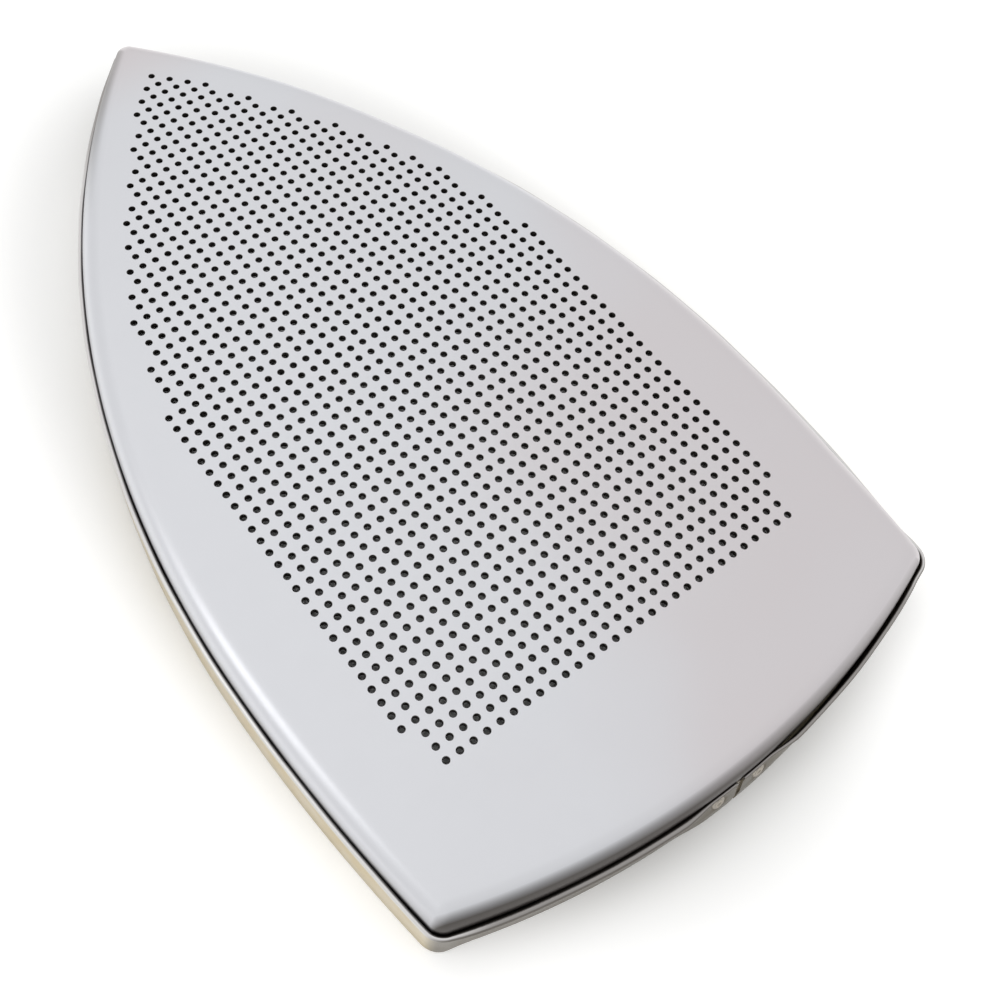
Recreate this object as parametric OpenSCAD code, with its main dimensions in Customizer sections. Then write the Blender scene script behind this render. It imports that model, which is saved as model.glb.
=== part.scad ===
// Iron shoe cover: a perforated sole pan in a rim band that is closed at the heel, with a retaining spring.
// X is across the shoe, +Y points to the toe, Z = 0 is the open foot and the sole faces up.

/* [Sole pan] */
// Length of the pan from the toe tip to the heel, mm
pan_l = 217.6; // [190:0.2:250]
// Width of the pan at its widest place, mm
pan_w = 126.8; // [110:0.2:140]
// Distance from the heel to the widest place, mm
widest_y = 65; // [50:1:90]
// Radius of the toe, seen from above, mm
toe_r = 5; // [4.6:0.1:12]
// Radius of the two heel corners, seen from above, mm
corner_r = 5; // [4.6:0.1:12]
// Radius of the two long arcs behind the widest place, mm
rear_side_r = 370; // [250:5:900]
// Radius of the bowed heel edge, seen from above, mm
heel_r = 174; // [120:1:400]
// Height of the whole cover, from the open foot to the sole, mm
part_h = 16; // [14:0.5:22]
// Outer radius of the rounded edge of the sole, mm
edge_r = 4.5; // [3:0.1:4.5]
// Thickness of the pan's sheet, mm
pan_t = 1.2; // [0.8:0.1:2]

/* [Perforation] */
// Spacing of the holes in both directions, mm
hole_pitch = 3; // [3:0.1:5]
// Diameter of a hole, mm
hole_d = 1.4; // [0.8:0.1:2]
// Distance from the toe tip to the first hole, mm
toe_margin = 14; // [12:0.5:40]
// Distance from the heel to the last row of holes, at least, mm
heel_margin = 31; // [15:0.5:60]
// Half width of the straight sided part of the field, mm
field_half_w = 47; // [20:1:50]
// Radius of the two arcs that bound the field in front, mm
field_r = 178.5; // [150:0.5:300]
// Half width of the field where its two arcs are widest, mm
field_wide_w = 49.75; // [20:0.25:52]
// Distance from the first hole to where the arcs are widest, mm
field_rise = 122.5; // [60:0.5:140]

/* [Rim band] */
// Thickness of the band's sheet, mm
band_t = 0.6; // [0.4:0.1:0.8]
// Gap between the pan's skirt and the band, mm
band_gap = 0.9; // [0.9:0.1:1.2]
// Height of the centre of the rolled bead, mm
bead_z = 10.75; // [9:0.25:11]
// Diameter of the rolled bead, mm
bead_d = 1.1; // [1:0.1:1.4]
// Width of the foot that is turned in under the pan's skirt, mm
foot_w = 3; // [2.8:0.1:5]
// Width of the open joint between the band's two ends, mm
joint_gap = 1.1; // [0.4:0.1:3]

/* [Joint] */
// Length of the strap behind the joint, mm
strap_l = 19; // [16:0.5:24]
// Thickness of the strap, mm
strap_t = 0.5; // [0.3:0.1:0.6]
// Height of the strap's upper edge, mm
strap_top = 10; // [9:0.5:10]
// Diameter of a rivet's head, mm
rivet_d = 3; // [2.4:0.1:3.6]
// Height of the rivets' centres, mm
rivet_z = 7.5; // [4:0.5:8]

/* [Retaining spring] */
// Distance of the spring from the middle of the pan, towards the toe, mm
spring_y = 14; // [0:1:30]
// Height of the spring's centre line, mm
spring_z = 6; // [4:0.5:8]
// Outer diameter of the coil, mm
coil_d = 5.4; // [4:0.1:6.4]
// Diameter of the spring's wire, mm
wire_d = 0.8; // [0.5:0.1:0.8]
// Number of turns
coil_turns = 40; // [10:1:44]
// Spacing of the turns, mm
coil_pitch = 1.15; // [1.1:0.05:1.6]

/* [Hidden] */
$fn = 72;
half_w = pan_w / 2;
heel_y = -pan_l / 2;
wide_y = heel_y + widest_y;
toe_c = [0, pan_l / 2 - toe_r];
// each long front arc is level at the widest place and runs into the toe's small circle
front_rise = toe_c[1] - wide_y;
front_r = (half_w * half_w + front_rise * front_rise - toe_r * toe_r) / (2 * (half_w - toe_r));
front_c = [half_w - front_r, wide_y];
rear_c = [half_w - rear_side_r, wide_y];
heel_c = [0, heel_y + heel_r];
// the corner's small circle touches the rear side arc and the heel arc from inside
side_reach = rear_side_r - corner_r;
heel_reach = heel_r - corner_r;
to_heel = heel_c - rear_c;
apart = norm(to_heel);
along = (side_reach * side_reach - heel_reach * heel_reach + apart * apart) / (2 * apart);
across = sqrt(side_reach * side_reach - along * along);
corner_c = rear_c + (along * to_heel + across * [to_heel[1], -to_heel[0]]) / apart;
toe_a = bearing(toe_c - front_c);
side_a = bearing(corner_c - rear_c);
corner_a = bearing(corner_c - heel_c);
band_r = heel_r + band_gap;
joint_a = asin(joint_gap / 2 / band_r);
strap_a = asin(strap_l / 2 / band_r);
// walk round the outline from the joint: centre, radius, start angle, end angle, steps
WALK = [
    [heel_c, heel_r, -90 + joint_a, -90 + strap_a, 1],
    [heel_c, heel_r, -90 + strap_a, corner_a, 6],
    [corner_c, corner_r, corner_a, side_a, 6],
    [rear_c, rear_side_r, side_a, 0, 4],
    [front_c, front_r, 0, toe_a, 16],
    [toe_c, toe_r, toe_a, 180 - toe_a, 12],
    [mirrored(front_c), front_r, 180 - toe_a, 180, 16],
    [mirrored(rear_c), rear_side_r, 180, 180 - side_a, 4],
    [mirrored(corner_c), corner_r, 180 - side_a, 180 - corner_a, 6],
    [heel_c, heel_r, 180 - corner_a, 270 - strap_a, 6],
    [heel_c, heel_r, 270 - strap_a, 270 - joint_a, 1]
];
STATIONS = concat(
    [for (w = WALK) for (k = [0:w[4] - 1]) [w[0], w[1], w[2] + k * (w[3] - w[2]) / w[4]]],
    [[heel_c, heel_r, 270 - joint_a]]
);
foot_t = band_t;
band_in = band_gap;
band_out = band_gap + band_t;
foot_in = band_out - foot_w;
bead_c = [(band_in + band_out) / 2 + 0.05, bead_z];
bead_r = bead_d / 2;
strap_foot_z = 1.2;
shank_d = 1.6;
head_h = 0.45;
dimple_d = 2;
dimple_h = 0.3;
rivet_a = (joint_a + strap_a) / 2;
rivet_scale = cos((strap_a - joint_a) / 2);
hole_rows = floor((pan_l - toe_margin - heel_margin) / hole_pitch) + 1;
first_row_y = pan_l / 2 - toe_margin;
short_row = 7;
long_row = 20;
hook_hole_d = wire_d + 0.2;
coil_r = (coil_d - wire_d) / 2;
coil_half = coil_turns * coil_pitch / 2;
// half width of the pan at the spring, where the front arc passes
spring_half_w = front_c[0] + sqrt(front_r * front_r - pow(spring_y - wide_y, 2));
hook_x = spring_half_w + band_gap / 2;
hook_drop = 2.6;
turn_steps = 10;
wire_sides = 6;

function bearing(v) = atan2(v[1], v[0]);
function unit(v) = v / norm(v);
function mirrored(c) = [-c[0], c[1]];
function mirrored3(c) = [-c[0], c[1], c[2]];
function arc(c, r, a0, a1, n) = [for (k = [0:n]) c + r * [cos(a0 + k * (a1 - a0) / n), sin(a0 + k * (a1 - a0) / n)]];
function at(s, off) = s[0] + (s[1] + off) * [cos(s[2]), sin(s[2])];
function at3(s, p) = [at(s, p[0])[0], at(s, p[0])[1], p[1]];
// half width of the field of holes in the row at y; one row is a pair of holes short of the arc, another a pair over it
function field_w(y) = min(
    field_half_w,
    field_wide_w - field_r + sqrt(field_r * field_r - pow(y - first_row_y + field_rise, 2))
);
function row_reach(i) = floor(field_w(first_row_y - i * hole_pitch) / hole_pitch)
    + (i == long_row ? 1 : 0) - (i == short_row ? 1 : 0);

// sweeps a section of [offset outward, height] points along stations, closed in a ring or with end caps
module sweep(stations, section, ring, caps = []) {
    n = len(section);
    m = len(stations);
    points = [for (s = stations) for (p = section) at3(s, p)];
    sides = [
        for (i = [0:ring ? m - 1 : m - 2]) for (j = [0:n - 1])
            let(a = i * n, b = ((i + 1) % m) * n, k = (j + 1) % n)
            [a + j, a + k, b + k, b + j]
    ];
    starts = [for (c = caps) [for (k = [len(c):-1:1]) c[k % len(c)]]];
    ends = [for (c = caps) [for (k = c) (m - 1) * n + k]];
    polyhedron(points, concat(sides, starts, ends), convexity = 10);
}

// rounded edge of the sole and the upright skirt below it, down to the band's foot
module pan_edge() {
    bend = [-edge_r, part_h - edge_r];
    section = concat(
        arc(bend, edge_r - pan_t, 90, 0, 5),
        [[-pan_t, foot_t], [0, foot_t]],
        arc(bend, edge_r, 0, 90, 8)
    );
    sweep(STATIONS, section, true);
}

// flat sole with its square grid of round holes
module sole_sheet() {
    translate([0, 0, part_h - pan_t]) linear_extrude(pan_t) difference() {
        polygon([for (s = STATIONS) at(s, -edge_r)]);
        for (i = [0:hole_rows - 1]) {
            reach = row_reach(i);
            if (reach >= 0) for (j = [-reach:reach])
                translate([j * hole_pitch, first_row_y - i * hole_pitch]) circle(d = hole_d);
        }
    }
}

// one sheet, pressed: sole, rounded edge and skirt, with two small holes for the spring's hooks
module sole_pan() {
    color("gainsboro") union() {
        sole_sheet();
        difference() {
            pan_edge();
            for (s = [-1, 1]) translate([s * spring_half_w, spring_y, spring_z])
                rotate([0, 90, 0]) cylinder(d = hook_hole_d, h = 8, center = true);
        }
    }
}

// one strip: foot turned in under the skirt, upright wall, rolled bead on top; open at the heel
module band_strip() {
    drop_out = sqrt(bead_r * bead_r - pow(band_out - bead_c[0], 2));
    drop_in = sqrt(bead_r * bead_r - pow(band_in - bead_c[0], 2));
    from = bearing([band_out - bead_c[0], -drop_out]);
    to = bearing([band_in - bead_c[0], -drop_in]) + 360;
    steps = 9;
    section = concat(
        [[foot_in, 0], [band_in, 0], [band_out, 0]],
        arc(bead_c, bead_r, from, to, steps),
        [[band_in, foot_t], [foot_in, foot_t]]
    );
    last = 3 + steps;
    foot_cap = [0, 1, last + 1, last + 2];
    wall_cap = [2, 3, last, last + 1, 1];
    bead_cap = [for (k = [3:last]) k];
    sweep(STATIONS, section, false, [foot_cap, wall_cap, bead_cap]);
}

// stands a child, drawn along +X from the heel arc's centre, at both rivets
module at_rivets() {
    for (s = [-1, 1]) translate([heel_c[0], heel_c[1], rivet_z])
        rotate([0, 0, -90 + s * rivet_a]) children();
}

module rivet_holes() {
    at_rivets() translate([heel_r * rivet_scale - 1, 0, 0])
        rotate([0, 90, 0]) cylinder(d = shank_d, h = 4);
}

module rim_band() {
    color("tan") difference() {
        band_strip();
        rivet_holes();
    }
}

// flat strap that lies on the band's inner side across the joint
module joint_strap() {
    ends = [
        [heel_c, heel_r, -90 - strap_a],
        [heel_c, heel_r, -90 - joint_a],
        [heel_c, heel_r, -90 + joint_a],
        [heel_c, heel_r, -90 + strap_a]
    ];
    section = [
        [band_in - strap_t, strap_foot_z],
        [band_in, strap_foot_z],
        [band_in, strap_top],
        [band_in - strap_t, strap_top]
    ];
    color("silver") difference() {
        sweep(ends, section, false, [[0, 1, 2, 3]]);
        rivet_holes();
    }
}

// two rivets with dished heads, through the band and the strap
module joint_rivets() {
    seat = (heel_r + band_out) * rivet_scale;
    root = (heel_r + band_in - strap_t) * rivet_scale;
    color("darkgray") at_rivets() rotate([0, 90, 0]) difference() {
        union() {
            translate([0, 0, root]) cylinder(d = shank_d, h = seat - root + head_h / 2);
            translate([0, 0, seat]) cylinder(d = rivet_d, h = head_h);
        }
        translate([0, 0, seat + head_h - dimple_h]) cylinder(d1 = dimple_d / 2, d2 = dimple_d, h = dimple_h);
    }
}

// wire of the spring: coil across the cover, a straight leg to each side and a hook behind the band
module retaining_spring() {
    lead = coil_r + wire_d;
    bend = 0.3 * wire_d;
    left = [
        [-hook_x, 0, -hook_drop],
        [-hook_x, 0, -bend],
        [-hook_x + bend, 0, 0],
        [-coil_half - lead, 0, 0]
    ];
    turns = [for (k = [0:coil_turns * turn_steps]) 360 * k / turn_steps];
    coil = [for (a = turns) [-coil_half + a / 360 * coil_pitch, coil_r * cos(a), coil_r * sin(a)]];
    path = concat(left, coil, [for (k = [3:-1:0]) mirrored3(left[k])]);
    ends = [for (p = left) [0, 1, 0]];
    sides = concat(ends, [for (a = turns) [0, cos(a), sin(a)]], ends);
    color("silver") translate([0, spring_y, spring_z]) wire(path, sides);
}

// round wire along a path, as a closed tube of flat faces; each point has a side that its first edge looks to
module wire(path, looks) {
    n = len(path);
    m = wire_sides;
    points = [
        for (i = [0:n - 1])
            let(
                d = unit(path[min(i + 1, n - 1)] - path[max(i - 1, 0)]),
                u = unit(looks[i] - (looks[i] * d) * d),
                v = cross(d, u)
            )
            for (j = [0:m - 1]) path[i] + wire_d / 2 * (cos(360 * j / m) * u + sin(360 * j / m) * v)
    ];
    sides = [
        for (i = [0:n - 2]) for (j = [0:m - 1])
            let(a = i * m + j, b = i * m + (j + 1) % m)
            each [[a, a + m, b + m], [a, b + m, b]]
    ];
    polyhedron(
        points,
        concat(sides, [[for (j = [0:m - 1]) j]], [[for (j = [m - 1:-1:0]) (n - 1) * m + j]]),
        convexity = 10
    );
}

sole_pan();
rim_band();
joint_strap();
joint_rivets();
retaining_spring();
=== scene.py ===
"""Perforated slip-on cover for the sole of a household iron, standing on its open side.

The file is laid out as an add-on: settings, one operator for each piece, a panel, and a main function
that runs the operators in order. X is across the cover, +Y points to its toe and the sole faces up.
"""

import math

import bmesh
import bpy
import numpy as np
from bpy.props import FloatProperty, FloatVectorProperty, IntProperty, PointerProperty
from mathutils import Matrix, Vector
from mathutils.geometry import delaunay_2d_cdt


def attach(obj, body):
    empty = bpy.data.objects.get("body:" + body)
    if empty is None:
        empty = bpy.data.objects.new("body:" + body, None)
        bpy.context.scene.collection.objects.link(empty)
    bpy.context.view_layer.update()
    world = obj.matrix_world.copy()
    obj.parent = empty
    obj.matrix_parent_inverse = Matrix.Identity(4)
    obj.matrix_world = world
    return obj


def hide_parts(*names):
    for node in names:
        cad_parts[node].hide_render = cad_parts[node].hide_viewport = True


bl_info = {
    "name": "Iron shoe cover",
    "version": (1, 0, 0),
    "blender": (4, 5, 0),
    "location": "3D View > Sidebar > Iron shoe",
    "description": "Builds a perforated sole cover for an iron, with its rim band, joint and spring",
    "category": "Add Mesh",
}

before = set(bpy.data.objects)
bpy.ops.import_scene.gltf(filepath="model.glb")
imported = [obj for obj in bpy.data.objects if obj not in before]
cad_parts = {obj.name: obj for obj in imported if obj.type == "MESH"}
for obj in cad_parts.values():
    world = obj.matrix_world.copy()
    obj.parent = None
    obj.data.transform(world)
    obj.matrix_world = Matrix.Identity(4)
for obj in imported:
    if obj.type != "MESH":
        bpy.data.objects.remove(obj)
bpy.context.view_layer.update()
MM = 0.001


def colour(text):
    """Linear colour from an sRGB hex value."""
    parts = [int(text[i : i + 2], 16) / 255 for i in (1, 3, 5)]
    return tuple(c / 12.92 if c <= 0.04045 else ((c + 0.055) / 1.055) ** 2.4 for c in parts)


# Settings


def size(name, about, value):
    """A length that a user may change."""
    return FloatProperty(name=name, description=about, default=value, unit="LENGTH")


def tally(name, about, value):
    """A whole number that a user may change."""
    return IntProperty(name=name, description=about, default=value)


def tint(name, about, text):
    """A colour that a user may change, its default an sRGB hex value."""
    return FloatVectorProperty(name=name, description=about, default=colour(text), size=3, subtype="COLOR")


class ShoePanSettings(bpy.types.PropertyGroup):
    """Sizes and colour of the pressed sole."""

    length: size("Length", "Toe tip to heel", 218.5 * MM)
    heel: size("Heel", "Middle to the heel's edge", 108.8 * MM)
    width: size("Width", "Across the widest place", 127.8 * MM)
    widest: size("Widest place", "Distance from the heel to the widest place", 65 * MM)
    toe_radius: size("Toe radius", "Seen from above", 2.8 * MM)
    corner_radius: size("Corner radius", "Of the two heel corners, seen from above", 3.4 * MM)
    side_radius: size("Rear side radius", "Of the sides behind the widest place", 370 * MM)
    heel_radius: size("Heel radius", "Of the bowed heel edge", 174 * MM)
    height: size("Height", "Open foot to sole", 16 * MM)
    edge_radius: size("Edge radius", "Rounding of the sole's edge", 4.5 * MM)
    soften: size("Soften", "How much larger the rounding is on the right", 1.4 * MM)
    thickness: size("Sheet", "Thickness of the pressed sheet", 1.2 * MM)
    flat: size("Flat", "Flat rim inside the rounding", 0.4 * MM)
    cool_colour: tint("Cool sheet", "Satin sheet where it is cooler", "#D3D4D8")
    warm_colour: tint("Warm sheet", "Satin sheet where it is warmer", "#CFCACC")
    # painted shade and painted dark reflections: holes' walls, groove beside the bead, rounding at the heel,
    # toe's left side
    painted_shade_colour: tint("Residue", "Starch and scorch in holes and groove", "#413C37")


class ShoeHoleSettings(bpy.types.PropertyGroup):
    """The field of steam holes."""

    pitch: size("Spacing", "Between hole centres", 3 * MM)
    diameter: size("Diameter", "Of one hole", 1.4 * MM)
    lip: size("Lip", "Rounding of a hole's upper edge", 0.07 * MM)
    sides: tally("Sides", "Corners of one hole, a multiple of four", 16)
    columns: tally("Columns", "Holes across the widest row", 31)
    rows: tally("Rows", "Rows from toe to heel", 58)
    first: size("First row", "Middle to the row at the toe", 94.8 * MM)
    half_width: size("Half width", "Of the straight part", 47 * MM)
    arc_radius: size("Arc radius", "Of the field's two arcs", 178.5 * MM)
    arc_half_width: size("Arc half width", "Where the two arcs are widest", 49.75 * MM)
    arc_rise: size("Arc rise", "First hole to where the arcs are widest", 122.5 * MM)
    short_row: tally("Short row", "A row with one pair of holes less", 7)
    long_row: tally("Long row", "A row with one pair of holes more", 20)


class ShoeBandSettings(bpy.types.PropertyGroup):
    """The rolled strip round the pan."""

    thickness: size("Strip", "Thickness of the strip", 0.4 * MM)
    gap: size("Gap", "Between pan and wall, at the top", 0.6 * MM)
    flare: size("Flare", "How far the wall's foot stands out", 0.3 * MM)
    bead_gap: size("Bead gap", "Between pan and bead", 0.1 * MM)
    bead_height: size("Bead height", "Of the bead's centre", 10.75 * MM)
    bead_diameter: size("Bead", "Diameter of the rolled bead", 0.9 * MM)
    foot: size("Foot", "Width of the foot turned in below", 3 * MM)
    bend: size("Bend", "Radius of the bend at the foot", 0.9 * MM)
    joint: size("Joint", "Gap between the two ends", 1.1 * MM)
    wave: size("Wave", "Unevenness of the bead", 0.12 * MM)
    lean: size("Lean", "How far the top leans in at the joint", 0.88 * MM)
    lean_from: size("Lean from", "Height where the lean starts", 5 * MM)
    standoff: size("Stand-off", "How far the bead stands off at the right heel corner", 0.9 * MM)
    strip_colour: tint("Strip colour", "Rolled strip", "#D2D0CF")
    # painted warm reflection on the wall below the bead
    warm_reflection_colour: tint("Straw colour", "Heat tint on the wall", "#C8BA98")
    # painted shade and dark reflections on the strip at the heel and the toe, and darker low on the wall
    strip_shade_colour: tint("Grime colour", "Dirt low on the strip", "#544D45")


class ShoeJointSettings(bpy.types.PropertyGroup):
    """Strap and rivets of the joint at the heel."""

    strap_length: size("Strap length", "Along the heel", 19 * MM)
    strap_thickness: size("Strap", "Thickness of the strap", 0.35 * MM)
    strap_bottom: size("Strap bottom", "Height of its lower edge", 1.2 * MM)
    strap_top: size("Strap top", "Height of its upper edge", 9 * MM)
    rivet_diameter: size("Rivet", "Diameter of a head", 3 * MM)
    rivet_height: size("Rivet height", "Of the centres", 7.5 * MM)
    head: size("Head", "How far a head stands out of its dent", 0.32 * MM)
    tilt: FloatProperty(
        name="Head tilt", description="Of the heads, upwards", default=math.radians(22), unit="ROTATION"
    )
    dent: size("Dent", "How deep the strip is pressed in", 0.3 * MM)
    dent_radius: size("Dent radius", "Round a head", 2.3 * MM)
    shank: size("Shank", "Diameter of a shank", 1.6 * MM)
    rivet_colour: tint("Rivet colour", "Pressed rivets and strap", "#A49D93")


class ShoeSpringSettings(bpy.types.PropertyGroup):
    """Retaining spring across the open side."""

    place: size("Place", "From the middle towards the toe", 14 * MM)
    height: size("Height", "Of the spring's axis", 6 * MM)
    coil: size("Coil", "Outer diameter", 5.4 * MM)
    wire: size("Wire", "Diameter of the wire", 0.8 * MM)
    turns: tally("Turns", "Number of turns", 40)
    turn_pitch: size("Pitch", "Spacing of the turns", 1.15 * MM)
    drop: size("Hook", "How far a hook reaches down", 2.6 * MM)
    wire_colour: tint("Wire colour", "Bright drawn wire", "#D4D3CF")


class ShoeStageSettings(bpy.types.PropertyGroup):
    """Floor, lamps and camera."""

    floor_size: size("Floor", "Side of the floor", 9000 * MM)
    floor_colour: tint("Floor colour", "Pale paper", "#F7F7F6")
    floor_lift: FloatProperty(
        name="Floor lift", description="Paleness added to the seen floor", default=0.26
    )
    room: FloatProperty(name="Room", description="Light of the room round the cover", default=0.95)
    dim: FloatProperty(name="Dim side", description="Light of the room on the heel's side", default=0.6)
    top: FloatProperty(
        name="Top lamp", description="Power of the large lamp above", default=0.6, unit="POWER"
    )
    key: FloatProperty(
        name="Key lamp", description="Power of the lamp at the upper left", default=1.2, unit="POWER"
    )
    lens: FloatProperty(name="Lens", description="Focal length", default=43.62, subtype="DISTANCE_CAMERA")


# Helpers


def node(tree, kind, links=None, **settings):
    """Adds a node with its settings. An input is given a value, a socket, or a node, for its first output."""
    made = tree.nodes.new(kind)
    for name, value in settings.items():
        setattr(made, name, value)
    for key, value in (links or {}).items():
        if isinstance(value, bpy.types.Node):
            value = next(socket for socket in value.outputs if socket.enabled)
        if isinstance(value, bpy.types.NodeSocket):
            tree.links.new(value, made.inputs[key])
        else:
            made.inputs[key].default_value = value
    return made


def new_material(name):
    """An empty node material and its tree."""
    made = bpy.data.materials.new(name)
    made.use_nodes = True
    made.node_tree.nodes.clear()
    return made, made.node_tree


def object_from(name, vertices, faces):
    """A mesh object at the origin."""
    mesh = bpy.data.meshes.new(name)
    mesh.from_pydata([tuple(v) for v in vertices], [], [tuple(f) for f in faces])
    mesh.validate()
    made = bpy.data.objects.new(name, mesh)
    bpy.context.scene.collection.objects.link(made)
    return made


def clean(obj, merge):
    """Merges points nearer than a distance, unless it is zero, and turns the faces outwards."""
    mesh = bmesh.new()
    mesh.from_mesh(obj.data)
    if merge:
        bmesh.ops.remove_doubles(mesh, verts=mesh.verts, dist=merge)
    bmesh.ops.recalc_face_normals(mesh, faces=mesh.faces)
    mesh.to_mesh(obj.data)
    mesh.free()


def smooth(obj, degrees):
    """Smooth faces, with sharp edges where two faces meet at more than the angle."""
    obj.data.shade_smooth()
    obj.data.set_sharp_from_angle(angle=math.radians(degrees))


def dress(obj, material, node_name):
    """Gives a piece its material, hides the CAD solid that it stands for and hangs it on the root body."""
    obj.data.materials.clear()
    obj.data.materials.append(material)
    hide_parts(node_name)
    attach(obj, "root")


def unlink_rest(obj):
    """Takes a helper object out of the file."""
    mesh = obj.data
    bpy.data.objects.remove(obj)
    bpy.data.meshes.remove(mesh)


def new_tree(name, inputs):
    """A geometry node tree with named inputs, each given with its kind of socket."""
    tree = bpy.data.node_groups.new(name, "GeometryNodeTree")
    tree.interface.new_socket("Geometry", in_out="OUTPUT", socket_type="NodeSocketGeometry")
    for label, kind in {"Geometry": "Geometry", **inputs}.items():
        tree.interface.new_socket(label, in_out="INPUT", socket_type="NodeSocket" + kind)
    return tree


# Outline of the pan


def bearing(v):
    return math.atan2(v[1], v[0])


def outline(pan, joint_half=0.0, least=0.0):
    """Arcs of the pan's outline from one side of the joint round to the other: centre, radius, start, end.

    With a least radius, toe and corners are blunter and the sides stay where they are.
    """
    half = pan.width / 2
    heel_y = -pan.heel
    wide_y = heel_y + pan.widest
    tip = heel_y + pan.length - pan.toe_radius
    rise = tip - wide_y
    corner_r = max(pan.corner_radius, least)
    toe_r = max(pan.toe_radius, least)
    front_r = (half * half + rise * rise - pan.toe_radius**2) / (2 * (half - pan.toe_radius))
    front = np.array([half - front_r, wide_y])
    toe = np.array([0, wide_y + math.sqrt((front_r - toe_r) ** 2 - (front_r - half) ** 2)])
    rear = np.array([half - pan.side_radius, wide_y])
    heel = np.array([0, heel_y + pan.heel_radius])
    side_reach = pan.side_radius - corner_r
    heel_reach = pan.heel_radius - corner_r
    to_heel = heel - rear
    apart = np.linalg.norm(to_heel)
    along = (side_reach**2 - heel_reach**2 + apart**2) / (2 * apart)
    across = math.sqrt(side_reach**2 - along**2)
    corner = rear + (along * to_heel + across * np.array([to_heel[1], -to_heel[0]])) / apart
    toe_a = bearing(toe - front)
    side_a = bearing(corner - rear)
    corner_a = bearing(corner - heel)
    joint_a = math.asin(joint_half / pan.heel_radius)
    quarter = math.pi / 2
    turn = np.array([-1, 1])
    return [
        (heel, pan.heel_radius, -quarter + joint_a, corner_a),
        (corner, corner_r, corner_a, side_a),
        (rear, pan.side_radius, side_a, 0),
        (front, front_r, 0, toe_a),
        (toe, toe_r, toe_a, math.pi - toe_a),
        (front * turn, front_r, math.pi - toe_a, math.pi),
        (rear * turn, pan.side_radius, math.pi, math.pi - side_a),
        (corner * turn, corner_r, math.pi - side_a, math.pi - corner_a),
        (heel, pan.heel_radius, math.pi - corner_a, 3 * quarter - joint_a),
    ]


def arc_ends(arcs):
    """Length run at the end of each arc."""
    return list(np.cumsum([r * (b - a) for _, r, a, b in arcs]))


def walk(arcs, step, turn, fine_end=0.0):
    """Stations along the arcs, no further apart than step metres or turn radians.

    A station is centre, radius, angle, length run, the arc's number and the share of the arc behind it.
    The first and last stretch, fine_end long, are walked in steps a tenth as long.
    """
    stations = []
    run = 0.0
    for index, (c, r, a, b) in enumerate(arcs):
        span = b - a
        count = max(1, math.ceil(r * span / step), math.ceil(span / turn))
        cuts = {k / count for k in range(count)}
        if fine_end and index in (0, len(arcs) - 1):
            fine = [k * step / 10 / (r * span) for k in range(int(fine_end / step * 10) + 1)]
            cuts.update(fine if index == 0 else [1 - f for f in fine])
        for cut in sorted(cuts):
            if cut < 1 - 1e-9:
                stations.append((c, r, a + cut * span, run + cut * r * span, index, cut))
        run += r * span
    stations.append((c, r, b, run, index, 1.0))
    return stations


def place(station, offset, z):
    """The point of a station that lies offset outwards of the outline, at height z."""
    c, r, a = station[:3]
    return (c[0] + (r + offset) * math.cos(a), c[1] + (r + offset) * math.sin(a), z)


def ease(value, start, end):
    """Soft step from 0 at the start to 1 at the end."""
    share = min(1.0, max(0.0, (value - start) / (end - start)))
    return share * share * (3 - 2 * share)


def arc(centre, radius, start, end, steps):
    """Points of an arc, angles in degrees."""
    angles = [math.radians(start + k * (end - start) / steps) for k in range(steps + 1)]
    return [(centre[0] + radius * math.cos(a), centre[1] + radius * math.sin(a)) for a in angles]


def loft(rows, ring):
    """Faces between rows of points, each row a closed section; the path is a ring or has two end caps."""
    count, n = len(rows), len(rows[0])
    faces = []
    for i in range(count if ring else count - 1):
        a, b = i * n, (i + 1) % count * n
        for j in range(n):
            k = (j + 1) % n
            faces.append((a + j, b + j, b + k, a + k))
    if not ring:
        faces.append(tuple(range(n)))
        faces.append(tuple((count - 1) * n + j for j in reversed(range(n))))
    return [p for row in rows for p in row], faces


def strip_uv(obj, rows, stations):
    """A UV map in metres on a lofted piece: along the path, and round the section."""
    n = len(rows[0])
    round_section = [0.0]
    for a, b in zip(rows[0], rows[0][1:]):
        round_section.append(round_section[-1] + math.dist(a, b))
    layer = obj.data.uv_layers.new(name="strip")
    for face in obj.data.polygons:
        if len(face.vertices) != 4:
            continue
        places = [(v // n, v % n) for v in face.vertices]
        closing = {j for _, j in places} == {0, n - 1}
        for loop, (i, j) in zip(face.loop_indices, places):
            across = round_section[-1] if closing and j == 0 else round_section[j]
            layer.data[loop].uv = (stations[i][3], across)


# Materials


# setting of a map range node whose ends are soft
SOFT = {"interpolation_type": "SMOOTHSTEP"}


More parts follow.
